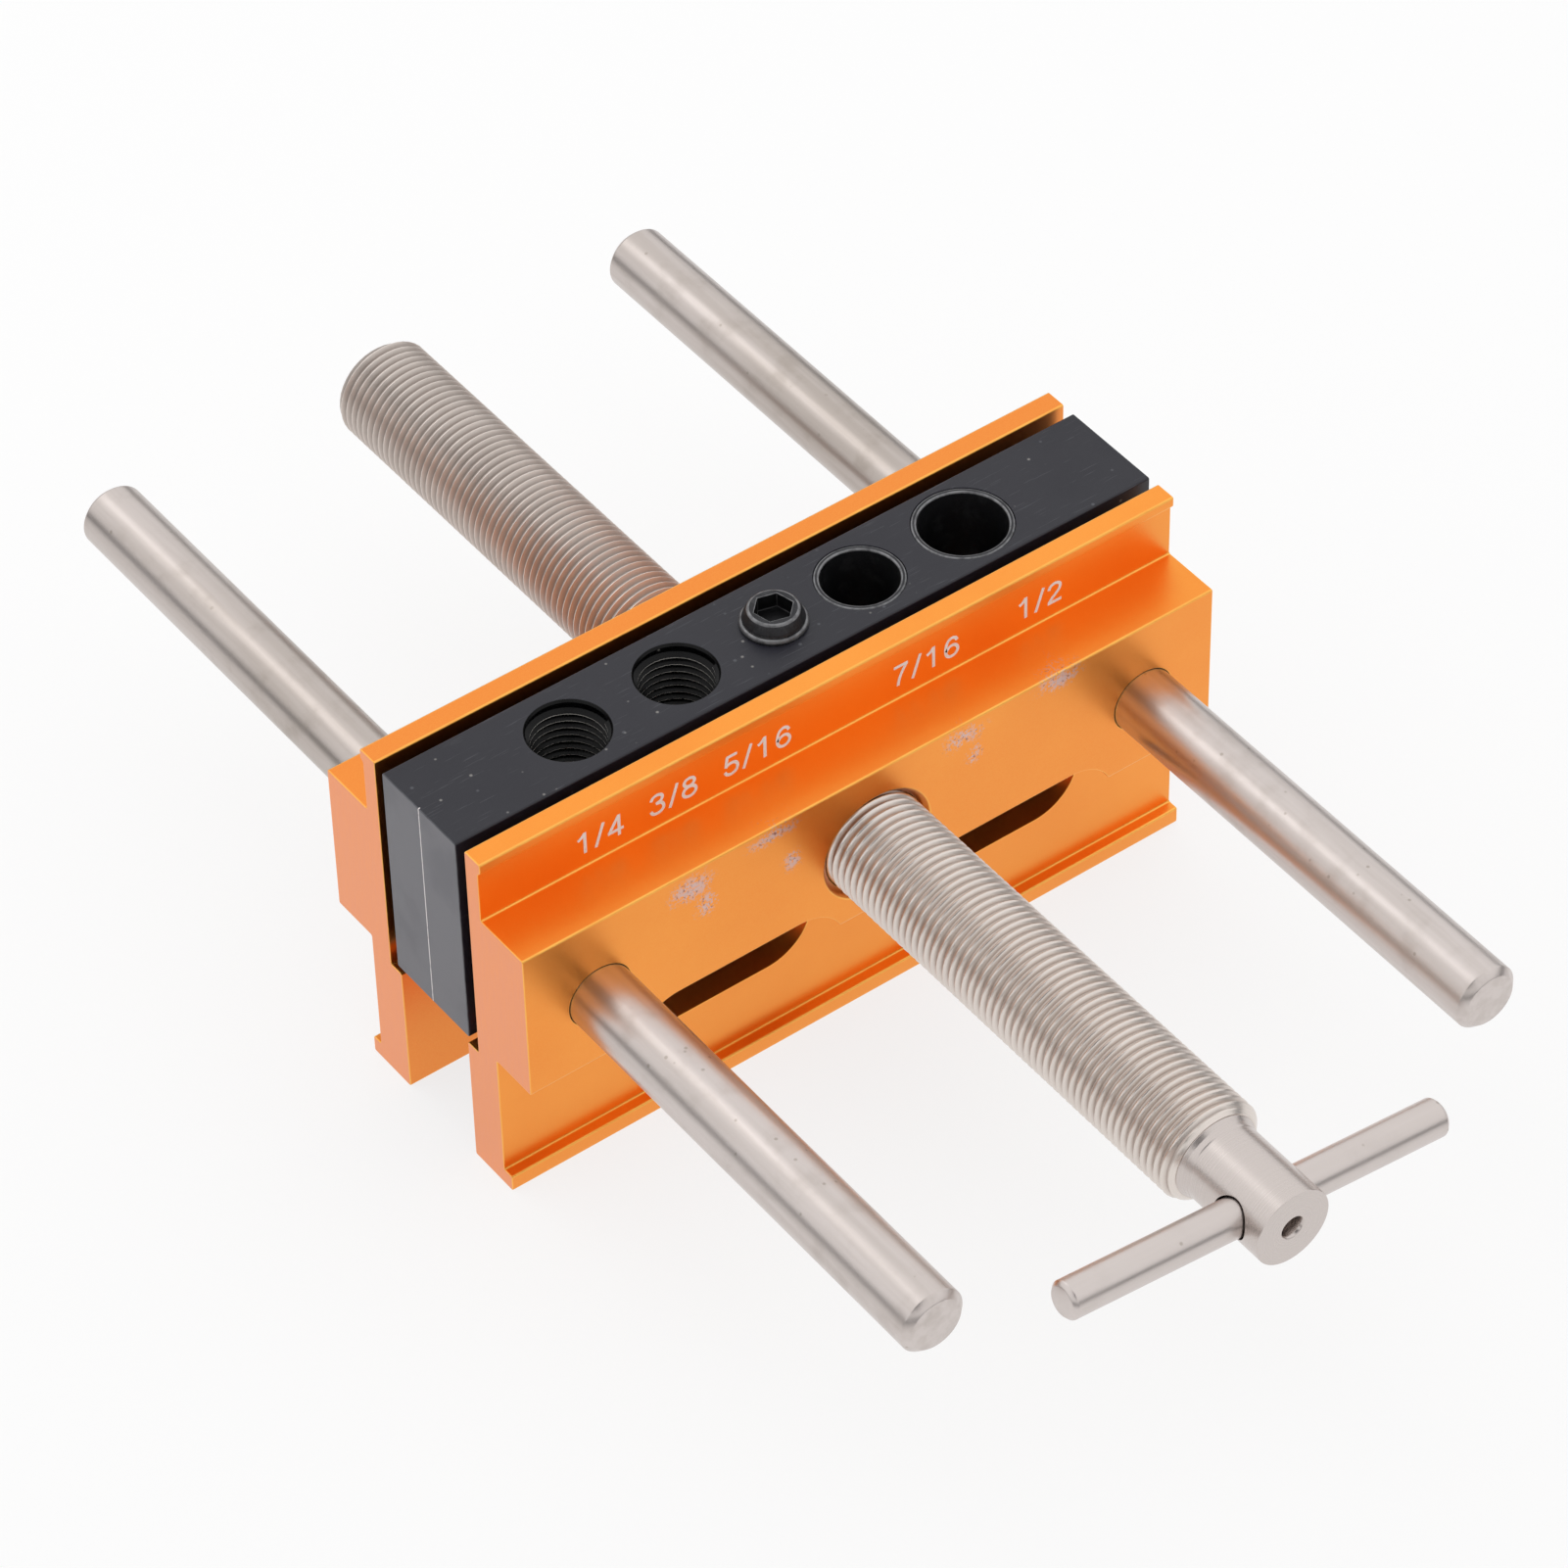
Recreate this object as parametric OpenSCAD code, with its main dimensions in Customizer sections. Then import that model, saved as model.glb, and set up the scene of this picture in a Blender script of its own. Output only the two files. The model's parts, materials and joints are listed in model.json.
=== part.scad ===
// Self centring dowelling jig.
// Two jaws ride on a pair of guide rods. A lead screw, cut left handed on one half and
// right handed on the other, moves both jaws by the same amount in opposite directions,
// so the drill guides in the block always stand over the middle of the clamped board.
// The origin is the middle of the guide block's underside, where the board's edge rests.
// X runs along the jaws, -Y points to the tommy bar and +Z points up.

/* [Guide block] */
// Length of the guide block
block_len = 116.6; // [110:0.1:140]
// Width of the guide block, across the clamped board
block_wid = 17; // [16.5:0.1:24]
// Height of the guide block
block_hgt = 36.7; // [34:0.1:48]

/* [Drill guides] */
// Bore of the large bushing, for a 1/2 inch drill
large_bore = 12.7; // [9:0.1:13.5]
// Place of the large bushing, right of the middle
large_x = 32.3; // [30:0.1:36]
// Bore of the small bushing, for a 7/16 inch drill
small_bore = 11.1; // [8:0.1:11.5]
// Place of the small bushing, right of the middle
small_x = 14.6; // [14.5:0.1:18]
// Wall of the pressed in bushings
bushing_wall = 0.9; // [0.6:0.05:1.2]
// Length of the pressed in bushings
bushing_len = 15; // [8:0.5:16]
// Diameter of the two tapped holes that take screw in bushings
tapped_d = 12; // [10:0.1:13]
// Length of the thread in the tapped holes
tapped_len = 22; // [12:0.5:30]
// Place of the inner tapped hole, left of the middle
tapped_near_x = 16.3; // [15:0.1:20]
// Place of the outer tapped hole, left of the middle
tapped_far_x = 34.1; // [32:0.1:37]

/* [Jaws] */
// Length of each jaw
jaw_len = 116.4; // [110:0.1:140]
// Gap between the guide block and each jaw, as the jig is set here
jaw_gap = 1.9; // [1:0.1:30]
// Height of the jaws over the top of the guide block
jaw_rise = 0.3; // [0:0.1:3]
// Reach of the jaws below the underside of the guide block
jaw_drop = 23.7; // [20:0.1:40]
// Wall of the upper plate, which carries the drill sizes
plate_wall = 2.9; // [2:0.1:5]
// Height of the strip between the jaw's top and the boss
strip_hgt = 10.8; // [8:0.1:12]
// Depth of the jaw through the boss
boss_deep = 12.4; // [10:0.1:18]
// Height of the boss's underside over the guide block's underside
boss_foot = 0.6; // [0:0.1:3]
// Wall of the lower plate, which presses on the board
grip_wall = 7; // [5:0.1:10]
// Reach of the lower plate under the guide block's side of the jaw
ledge_reach = 2.5; // [1:0.1:4]
// Clearance between the ledge and the guide block's underside
ledge_gap = 1.4; // [0.5:0.1:3]
// Reach of the small lip along the jaw's top
top_lip = 0.6; // [0.3:0.05:1.2]
// Height of the lip along the jaw's top
top_lip_hgt = 2.2; // [1.5:0.1:4]
// Reach of the lip along the jaw's foot
foot_lip = 1.8; // [1:0.1:3]
// Height of the lip along the jaw's foot
foot_lip_hgt = 2.8; // [2:0.1:4]

/* [Jaw slots] */
// Height of the long slots that lighten the jaws
slot_hgt = 14.8; // [8:0.1:16]
// Height of the slots' centre line below the guide block's underside
slot_low = 2.4; // [2:0.1:6]
// Distance of each slot's inner end from the middle
slot_inner = 5.8; // [5:0.1:12]
// Distance of each slot's outer end from the middle
slot_outer = 41; // [30:0.1:44]

/* [Guide rods] */
// Diameter of the guide rods
rod_d = 10; // [8:0.1:11]
// Distance of each guide rod from the middle
rod_x = 46.2; // [45:0.1:50]
// Reach of the rods in front of the guide block's middle
rod_front = 95.7; // [70:0.1:120]
// Reach of the rods behind the guide block's middle
rod_rear = 97.8; // [70:0.1:120]
// Height of the rods and the lead screw over the guide block's underside
axis_hgt = 12.4; // [11:0.1:14]
// Chamfer on the ends of the rods
rod_chamfer = 1; // [0.3:0.1:2]

/* [Lead screw] */
// Outer diameter of the lead screw's thread
screw_d = 16; // [12:0.1:17]
// Reach of the thread in front of the guide block's middle
thread_front = 95; // [70:0.1:120]
// Reach of the lead screw behind the guide block's middle
screw_rear = 97; // [70:0.1:120]
// Chamfer on the ends of the thread
thread_chamfer = 1.2; // [0.5:0.1:2]
// Diameter of the plain shank
shank_d = 12; // [9:0.1:12]
// Length of the plain shank
shank_len = 15.6; // [13:0.1:30]
// Chamfer on the shank's end
shank_chamfer = 0.3; // [0.1:0.1:1]
// Mouth of the lathe centre in the shank's end
centre_d = 3.8; // [2:0.1:5]
// Depth of the lathe centre
centre_deep = 5; // [2:0.1:8]

/* [Tommy bar] */
// Diameter of the tommy bar
bar_d = 5.6; // [4:0.1:6]
// Length of the tommy bar
bar_len = 63.2; // [40:0.1:100]
// How far the tommy bar has slid to the left in its hole
bar_shift = 1.9; // [0:0.1:20]
// Turn of the tommy bar about the lead screw, right end down
bar_turn = 6.4; // [0:0.1:90]
// Distance of the tommy bar from the shank's end
bar_inset = 5.7; // [5:0.1:8]
// Chamfer on the ends of the tommy bar
bar_chamfer = 0.6; // [0.2:0.1:1.5]

/* [Retaining screw] */
// Thread diameter of the retaining screw
retainer_d = 6; // [5:0.1:8]
// Diameter of the retaining screw's head at its foot
head_foot_d = 9; // [8.5:0.1:11]
// Diameter of the retaining screw's head at its rim
head_rim_d = 7.2; // [6.5:0.1:8]
// Height of the retaining screw's head
head_hgt = 1.9; // [1.5:0.1:4]
// Key size of the retaining screw's socket
socket_key = 4.9; // [3:0.1:5]
// Turn of the socket, as it happens to stand
socket_turn = 44; // [0:1:59]
// Outer diameter of the washer under the head
washer_d = 9.6; // [9.2:0.1:13]
// Thickness of the washer
washer_thick = 0.9; // [0.5:0.1:2]
// Diameter of the dog point that runs in the lead screw's groove
dog_d = 4.4; // [3:0.1:5]
// Depth of the lead screw's groove
groove_deep = 1.6; // [0.8:0.1:3]

/* [Set screws] */
// Diameter of the screws that lock the rods in the guide block
locker_d = 5; // [3:0.1:6]
// Length of the locking screws
locker_len = 6; // [4:0.1:7]
// Key size of the locking screws' sockets
locker_key = 2.5; // [1.5:0.1:3]

/* [Hidden] */
$fn = 64;
// Steps of the small arcs that ease the corners of an outline
ease_steps = 3;
// Cuts run past the faces that they open by this much
overrun = 1;
// Radial clearance where a jaw or the lead screw runs on its bore
run_fit = 0.08;
// Radial clearance where a piece is seated for good
seat_fit = 0.02;
// Radial clearance of the tommy bar, which slides loosely in its hole
bar_fit = 0.5;
// Radial room for the drill below a bushing
drill_room = 0.2;
// Radial step from the tapped holes' thread down to the plain drill hole
thread_step = 0.8;
// Side and end clearance of the dog point in the lead screw's groove
dog_fit = 0.3;
// Largest radius of an eased corner on the jaws and on the guide block
jaw_ease = 0.3;
block_ease = 0.3;
// Chamfer at the mouth of the lead screw's bore in a jaw
mouth_chamfer = 1;
// Edge break of the washer, depth of the two kinds of key sockets
washer_break = 0.25;
socket_deep = head_hgt + washer_thick / 2;
locker_socket_deep = locker_key;

// Radii and places that follow from the sizes above
rod_r = rod_d / 2;
screw_r = screw_d / 2;
shank_r = shank_d / 2;
dog_r = dog_d / 2;
groove_wid = dog_d + 2 * dog_fit;
groove_r = screw_r - groove_deep;
large_r = large_bore / 2;
small_r = small_bore / 2;
jaw_in = block_wid / 2 + jaw_gap;
jaw_top = block_hgt + jaw_rise;
jaw_out = jaw_in + boss_deep;
boss_top = jaw_top - strip_hgt;
slot_r = slot_hgt / 2;
shank_end = thread_front + shank_len;
bar_front = shank_end - bar_inset;
head_seat = block_hgt + washer_thick;
screw_top = axis_hgt + screw_r;
bar_hole_d = bar_d + 2 * bar_fit;

// The jaw's section: distance outwards from the face beside the block, and height
jaw_outline = [
    [-ledge_reach, -jaw_drop],
    [grip_wall - ledge_reach + foot_lip, -jaw_drop],
    [grip_wall - ledge_reach + foot_lip, foot_lip_hgt - jaw_drop],
    [grip_wall - ledge_reach, foot_lip_hgt - jaw_drop],
    [grip_wall - ledge_reach, boss_foot],
    [boss_deep, boss_foot],
    [boss_deep, boss_top],
    [plate_wall, boss_top],
    [plate_wall, jaw_top - top_lip_hgt],
    [plate_wall + top_lip, jaw_top - top_lip_hgt + top_lip],
    [plate_wall + top_lip, jaw_top],
    [0, jaw_top],
    [0, -ledge_gap],
    [-ledge_reach, -ledge_gap]
];
block_outline = [
    [-block_wid / 2, 0],
    [block_wid / 2, 0],
    [block_wid / 2, block_hgt],
    [-block_wid / 2, block_hgt]
];

function unit(v) = v / norm(v);
function angle_of(v) = atan2(v.y, v.x);
// The shorter way round from one direction to another
function turn_between(from, to) = (to - from + 540) % 360 - 180;
// An outline with every corner turned by an arc of the given radius
function eased(points, radius) = [
    for (i = [0:len(points) - 1])
        let (
            here = points[i],
            back = unit(points[(i + len(points) - 1) % len(points)] - here),
            ahead = unit(points[(i + 1) % len(points)] - here),
            half = acos(back * ahead) / 2,
            hub = here + unit(back + ahead) * radius / sin(half),
            first = angle_of(here + back * radius / tan(half) - hub),
            last = angle_of(here + ahead * radius / tan(half) - hub)
        )
        for (k = [0:ease_steps])
            let (a = first + turn_between(first, last) * k / ease_steps)
            hub + radius * [cos(a), sin(a)]
];

// A prism along X over an outline drawn in Y and Z
module along_x(outline, length) {
    rotate([90, 0, 90])
        linear_extrude(height = length, center = true)
            polygon(outline);
}

// A round hole or pin along Y
module along_y(d, from, to) {
    translate([0, from, 0])
        rotate([-90, 0, 0])
            cylinder(d = d, h = to - from);
}

// A turned piece on the Y axis: radius against distance
module turned(profile) {
    rotate([-90, 0, 0])
        rotate_extrude()
            polygon(profile);
}

// A round bar on the Y axis with a chamfer on both ends
module round_bar(d, from, to, chamfer) {
    turned([
        [0, from],
        [d / 2 - chamfer, from],
        [d / 2, from + chamfer],
        [d / 2, to - chamfer],
        [d / 2 - chamfer, to],
        [0, to]
    ]);
}

// A six sided key socket that opens upwards at height zero
module key_socket(key, deep) {
    translate([0, 0, -deep])
        cylinder(d = key / cos(30), h = deep + overrun, $fn = 6);
}

// One long slot with round ends, right of the middle, through the whole jaw
module jaw_slot() {
    front = jaw_in - ledge_reach - overrun;
    back = jaw_out + overrun;
    for (x = [slot_inner + slot_r, slot_outer - slot_r])
        translate([x, 0, -slot_low])
            along_y(slot_hgt, front, back);
    translate([slot_inner + slot_r, front, -slot_low - slot_r])
        cube([slot_outer - slot_inner - slot_hgt, back - front, slot_hgt]);
}

// The rear jaw as it stands; the front jaw is its mirror image
module jaw() {
    difference() {
        translate([0, jaw_in, 0])
            along_x(eased(jaw_outline, min(jaw_ease, top_lip / 2)), jaw_len);
        for (side = [-1, 1])
            translate([side * rod_x, 0, axis_hgt])
                along_y(rod_d + 2 * run_fit, jaw_in - overrun, jaw_out + overrun);
        translate([0, 0, axis_hgt])
            along_y(screw_d + 2 * run_fit, jaw_in - overrun, jaw_out + overrun);
        translate([0, jaw_out - mouth_chamfer, axis_hgt])
            rotate([-90, 0, 0])
                cylinder(
                    r1 = screw_r + run_fit,
                    r2 = screw_r + run_fit + mouth_chamfer + overrun,
                    h = mouth_chamfer + overrun
                );
        jaw_slot();
        mirror([1, 0, 0])
            jaw_slot();
    }
}

module front_jaw() {
    color("darkorange")
        mirror([0, 1, 0])
            jaw();
}

module rear_jaw() {
    color("darkorange")
        jaw();
}

// A hole from the block's top with a wider seat of the given depth over it
module stepped_hole(x, seat_d, seat_deep, lower_d) {
    translate([x, 0, block_hgt - seat_deep])
        cylinder(d = seat_d, h = seat_deep + overrun);
    translate([x, 0, -overrun])
        cylinder(d = lower_d, h = block_hgt - seat_deep + 2 * overrun);
}

module centre_block() {
    color([0.13, 0.13, 0.15])
        difference() {
            along_x(eased(block_outline, block_ease), block_len);
            for (side = [-1, 1])
                translate([side * rod_x, 0, 0]) {
                    translate([0, 0, axis_hgt])
                        along_y(
                            rod_d + 2 * seat_fit,
                            -block_wid / 2 - overrun,
                            block_wid / 2 + overrun
                        );
                    translate([0, 0, -overrun])
                        cylinder(d = locker_d + 2 * seat_fit, h = axis_hgt + overrun);
                }
            translate([0, 0, axis_hgt])
                along_y(
                    screw_d + 2 * run_fit,
                    -block_wid / 2 - overrun,
                    block_wid / 2 + overrun
                );
            stepped_hole(
                large_x,
                large_bore + 2 * (bushing_wall + seat_fit),
                bushing_len,
                large_bore + 2 * drill_room
            );
            stepped_hole(
                small_x,
                small_bore + 2 * (bushing_wall + seat_fit),
                bushing_len,
                small_bore + 2 * drill_room
            );
            for (x = [tapped_near_x, tapped_far_x])
                stepped_hole(-x, tapped_d, tapped_len, tapped_d - 2 * thread_step);
            translate([0, 0, axis_hgt])
                cylinder(d = retainer_d + 2 * seat_fit, h = block_hgt - axis_hgt + overrun);
        }
}

module lead_screw() {
    color("lightslategray")
        translate([0, 0, axis_hgt])
            difference() {
                turned([
                    [0, centre_deep - shank_end],
                    [centre_d / 4, centre_deep - shank_end],
                    [centre_d / 4, centre_d / 2 - shank_end],
                    [centre_d / 2, -shank_end],
                    [shank_r - shank_chamfer, -shank_end],
                    [shank_r, shank_chamfer - shank_end],
                    [shank_r, -thread_front],
                    [screw_r - thread_chamfer, -thread_front],
                    [screw_r, thread_chamfer - thread_front],
                    [screw_r, -groove_wid / 2],
                    [groove_r, -groove_wid / 2],
                    [groove_r, groove_wid / 2],
                    [screw_r, groove_wid / 2],
                    [screw_r, screw_rear - thread_chamfer],
                    [screw_r - thread_chamfer, screw_rear],
                    [0, screw_rear]
                ]);
                translate([0, -bar_front, 0])
                    rotate([0, bar_turn, 0])
                        translate([-shank_d, 0, 0])
                            rotate([0, 90, 0])
                                cylinder(d = bar_hole_d, h = 2 * shank_d);
            }
}

module tommy_bar() {
    color("silver")
        translate([0, -bar_front, axis_hgt])
            rotate([0, bar_turn, 0])
                rotate([0, 0, -90])
                    round_bar(
                        bar_d,
                        -bar_len / 2 - bar_shift,
                        bar_len / 2 - bar_shift,
                        bar_chamfer
                    );
}

module guide_rod(side) {
    color("silver")
        translate([side * rod_x, 0, axis_hgt])
            round_bar(rod_d, -rod_front, rod_rear, rod_chamfer);
}

module guide_rod_left() {
    guide_rod(-1);
}

module guide_rod_right() {
    guide_rod(1);
}

// A plain bushing pressed in flush with the block's top
module bushing(x, bore) {
    color([0.25, 0.25, 0.27])
        translate([x, 0, block_hgt - bushing_len])
            difference() {
                cylinder(d = bore + 2 * bushing_wall, h = bushing_len);
                translate([0, 0, -overrun])
                    cylinder(d = bore, h = bushing_len + 2 * overrun);
            }
}

module bushing_large() {
    bushing(large_x, large_bore);
}

module bushing_small() {
    bushing(small_x, small_bore);
}

// Its dog point stands in the lead screw's groove and holds the screw endways
module retaining_screw() {
    color([0.18, 0.18, 0.2])
        difference() {
            rotate_extrude()
                polygon([
                    [0, screw_top - groove_deep + dog_fit],
                    [dog_r, screw_top - groove_deep + dog_fit],
                    [dog_r, screw_top + dog_fit],
                    [retainer_d / 2, screw_top + dog_fit],
                    [retainer_d / 2, head_seat],
                    [head_foot_d / 2, head_seat],
                    [head_rim_d / 2, head_seat + head_hgt],
                    [0, head_seat + head_hgt]
                ]);
            translate([0, 0, head_seat + head_hgt])
                rotate([0, 0, socket_turn])
                    key_socket(socket_key, socket_deep);
        }
}

module retaining_washer() {
    color([0.22, 0.22, 0.24])
        translate([0, 0, block_hgt])
            rotate_extrude()
                polygon([
                    [retainer_d / 2 + seat_fit, 0],
                    [washer_d / 2, 0],
                    [washer_d / 2, washer_thick - washer_break],
                    [washer_d / 2 - washer_break, washer_thick],
                    [retainer_d / 2 + seat_fit, washer_thick]
                ]);
}

// The two screws in the block's underside that lock the rods
module rod_locking_screws() {
    color([0.2, 0.2, 0.22])
        for (side = [-1, 1])
            translate([side * rod_x, 0, axis_hgt - rod_r - locker_len])
                difference() {
                    cylinder(d = locker_d, h = locker_len);
                    mirror([0, 0, 1])
                        key_socket(locker_key, locker_socket_deep);
                }
}

front_jaw();
rear_jaw();
centre_block();
lead_screw();
tommy_bar();
guide_rod_left();
guide_rod_right();
bushing_large();
bushing_small();
retaining_screw();
retaining_washer();
rod_locking_screws();
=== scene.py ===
"""Self centring dowelling jig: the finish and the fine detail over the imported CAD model.

Everything stands in the CAD model's own frame, in metres: X runs along the jaws, -Y points
to the tommy bar and +Z points up. The origin is the middle of the guide block's underside.
"""

import json
import math

import bmesh
import bpy
from mathutils import Matrix, Vector


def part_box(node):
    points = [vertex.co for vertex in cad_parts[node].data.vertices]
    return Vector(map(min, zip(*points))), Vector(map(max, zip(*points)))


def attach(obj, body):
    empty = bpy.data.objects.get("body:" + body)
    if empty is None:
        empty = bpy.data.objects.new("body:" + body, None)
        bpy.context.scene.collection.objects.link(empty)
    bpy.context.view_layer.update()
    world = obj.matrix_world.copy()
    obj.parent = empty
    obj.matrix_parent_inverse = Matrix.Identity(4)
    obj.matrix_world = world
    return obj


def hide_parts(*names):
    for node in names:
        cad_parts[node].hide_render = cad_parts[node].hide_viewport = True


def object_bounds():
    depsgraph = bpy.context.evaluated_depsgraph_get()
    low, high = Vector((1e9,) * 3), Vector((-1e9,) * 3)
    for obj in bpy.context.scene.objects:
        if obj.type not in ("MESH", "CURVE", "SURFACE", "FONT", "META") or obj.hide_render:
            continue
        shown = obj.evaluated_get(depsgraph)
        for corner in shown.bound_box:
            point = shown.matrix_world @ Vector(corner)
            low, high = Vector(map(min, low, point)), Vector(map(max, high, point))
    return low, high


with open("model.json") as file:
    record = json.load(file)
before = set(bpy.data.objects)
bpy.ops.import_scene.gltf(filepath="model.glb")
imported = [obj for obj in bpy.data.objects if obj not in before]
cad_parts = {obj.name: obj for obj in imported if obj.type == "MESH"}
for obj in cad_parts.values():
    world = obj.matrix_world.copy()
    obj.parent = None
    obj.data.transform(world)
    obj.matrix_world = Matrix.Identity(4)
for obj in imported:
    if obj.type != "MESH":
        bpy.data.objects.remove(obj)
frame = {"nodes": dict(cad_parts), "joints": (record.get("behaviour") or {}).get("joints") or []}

bl_info = {
    "name": "Self centring dowelling jig",
    "version": (1, 0, 0),
    "blender": (4, 5, 0),
    "location": "3D View > Sidebar > Jig",
    "description": "Machined detail, finishes and a pale studio for a dowelling jig",
    "category": "Object",
}

MM = 0.001
FULL_TURN = 2 * math.pi
# Points closer together than this are one point
WELD = 0.001 * MM
# Faces that differ by less than this are one flat face
FLAT_ANGLE = math.radians(0.5)
# Edges that turn by more than this are corners
CORNER_ANGLE = math.radians(35)
# A face looks along an axis where this share of its normal does
ALONG = 0.99
# How far a point may lie off a crest or a bore's wall and still belong to it
CLOSE = 0.02 * MM
BESIDE = 0.05 * MM
# Steps round a turned piece, and round each turn of a thread
TURNED_STEPS = 128
THREAD_STEPS = 40
UP = Vector((0, 0, 1))

CAD_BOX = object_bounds()
BLOCK_LOW, BLOCK_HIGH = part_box("centre_block")
SCREW_LOW, SCREW_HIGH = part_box("lead_screw")
BOSS_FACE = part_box("front_jaw")[0].y
AXIS_HEIGHT = (SCREW_LOW.z + SCREW_HIGH.z) / 2
SCREW_RADIUS = (SCREW_HIGH.z - SCREW_LOW.z) / 2


def seen(red, green, blue):
    """A colour as a screen shows it, 0 to 255, as the linear colour that a shader takes"""
    return tuple(
        c / 12.92 if c <= 0.04045 else ((c + 0.055) / 1.055) ** 2.4
        for c in (red / 255, green / 255, blue / 255)
    )


def length(label, default_mm, note):
    """A length that a user may change, given in millimetres"""
    return bpy.props.FloatProperty(
        name=label, description=note, default=default_mm * MM, min=0, unit="LENGTH",
        precision=5,
    )


def colour(label, default, note):
    """A colour that a user may change, given as it is seen"""
    return bpy.props.FloatVectorProperty(
        name=label, description=note, default=seen(*default), min=0, max=1, size=3,
        subtype="COLOR",
    )


def share(label, default, note):
    """A plain number that a user may change"""
    return bpy.props.FloatProperty(name=label, description=note, default=default, min=0)


def angle(label, default_deg, note):
    """An angle that a user may change, given in degrees"""
    return bpy.props.FloatProperty(
        name=label, description=note, default=math.radians(default_deg), unit="ROTATION",
        subtype="ANGLE",
    )


class JigSizes(bpy.types.PropertyGroup):
    """Sizes of the detail that the CAD model leaves to the finish"""

    edge_break: length("Edge break", 0.14, "Width of the broken edges of the jaws and the block")
    fine_break: length("Fine edge break", 0.12, "Width of the broken edges of the small pieces")
    pitch: length("Thread pitch", 1.35, "Lead of the lead screw, left handed in front")
    thread_deep: length("Thread depth", 0.62, "Depth of the lead screw's thread")
    front_lead: length("Front thread start", 1.125, "Where the front thread begins its turn")
    rear_lead: length("Rear thread start", 0.6, "Where the rear thread begins its turn")
    shank_length: length("Shank length", 15.6, "Length of the lead screw's plain shank")
    groove_width: length("Groove width", 5, "Width of the groove that the retaining screw enters")
    thread_chamfer: length("Thread chamfer", 1.2, "Chamfer on the ends of the lead screw")
    socket_pitch: length("Socket thread pitch", 1.27, "Pitch of the thread in the tapped holes")
    socket_deep: length("Socket thread depth", 0.7, "Depth of that thread")
    socket_length: length("Socket thread length", 22, "Length of that thread")
    rounding: length("Rounding", 0.3, "Width of the rounded rims of the bushings and the screw")
    letter_height: length("Number height", 3.8, "Height of the drill sizes on the front jaw")
    stroke_width: length("Stroke width", 0.5, "Width of their strokes")
    letter_gap: length("Number gap", 0.44, "Space added between the characters")
    ink_thickness: length("Ink thickness", 0.02, "Thickness of the printed drill sizes")


class JigColours(bpy.types.PropertyGroup):
    """Colours of the finishes"""

    orange: colour("Anodised orange", (250, 154, 56), "Bead blasted and anodised aluminium")
    orange_deep: colour("Deep orange", (242, 136, 40), "Where the dye took more strongly")
    orange_rear: colour("Rear orange", (238, 132, 50), "The rear jaw, dyed in another batch")
    # Painted highlight on the broken edges; also the light specks of the grain
    orange_edge: colour("Edge orange", (255, 190, 90), "Broken edges that catch the light")
    orange_sawn: colour("Sawn orange", (238, 146, 92), "Sawn ends of the jaws")
    scuff: colour("Scuff", (206, 184, 184), "Rubbed patches of the anodising")
    scuff_dark: colour("Dark scuff", (132, 92, 96), "Dirt in those patches")
    black: colour("Anodised black", (23, 22, 33), "Anodised guide block")
    black_end: colour("End of the block", (98, 97, 103), "Milled ends of the block")
    # Lint on the block; the same colour paints the glint on the crests of the tapped holes
    dust: colour("Dust", (190, 186, 180), "Lint that lies on the block")
    # Near black: painted shade inside the tapped holes and the screw's socket
    bore: colour("Inside of a bore", (5, 5, 6), "Tapped holes and the screw's socket")
    black_edge: colour("Edge of the block", (120, 122, 128), "Broken edges of the block")
    steel: colour("Ground steel", (210, 201, 197), "Guide rods and tommy bar")
    thread: colour("Thread", (232, 223, 216), "Crests of the lead screw's thread")
    # Old oil and handling marks; also the painted shade on the rods behind the block
    steel_stain: colour("Steel stain", (176, 166, 158), "Old oil and handling marks")
    # Darker between the crests: cutting oil and painted shade
    root: colour("Thread root", (196, 184, 176), "Cutting oil left between the crests")
    # Darker in the rear half: painted reflection of the orange jaw and of the dark side towards
    # the camera
    rear_root: colour("Rear thread root", (170, 159, 152), "The same in the rear half")
    dark_steel: colour("Blackened steel", (42, 42, 45), "Bushings and screws")
    rubbed_steel: colour("Rubbed steel", (142, 142, 144), "Where their blacking is worn off")
    ink: colour("Ink", (252, 244, 242), "Printed drill sizes")
    floor: colour("Floor", (250, 250, 250), "Studio floor")
    card: colour("Card", (112, 112, 114), "Dark cards that give the metal its dark reflections")


class JigStudio(bpy.types.PropertyGroup):
    """Camera and light of the studio"""

    azimuth: angle("Azimuth", -35.728, "Side from which the camera looks")
    elevation: angle("Elevation", 44.611, "Height of the camera over the horizon")
    roll: angle("Roll", -1.443, "Turn of the picture")
    distance: length("Distance", 926.896, "Distance from the camera to the point it looks at")
    lens: share("Lens", 156.03, "Focal length on a sensor 36 wide, in millimetres")
    sky: share("Sky", 1.04, "Strength of the light from all round")
    key: share("Key light", 0.17, "Power of the soft lamp behind the jig, in watts")
    lift: share("Floor lift", 0.78, "How far the floor is lifted to white where it is seen")


# Tools for the meshes

def as_mesh(name, bm):
    """The mesh of a shape, which isn't needed after it"""
    mesh = bpy.data.meshes.new(name)
    bm.to_mesh(mesh)
    bm.free()
    return mesh


def as_object(name, data):
    made = bpy.data.objects.new(name, data)
    bpy.context.scene.collection.objects.link(made)
    return made


def join(bm, part):
    """Adds one mesh under way to another"""
    mesh = as_mesh("part", part)
    bm.from_mesh(mesh)
    bpy.data.meshes.remove(mesh)


def verts_of(grown):
    """The points among what an operator has made"""
    return [v for v in grown if isinstance(v, bmesh.types.BMVert)]


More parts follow.
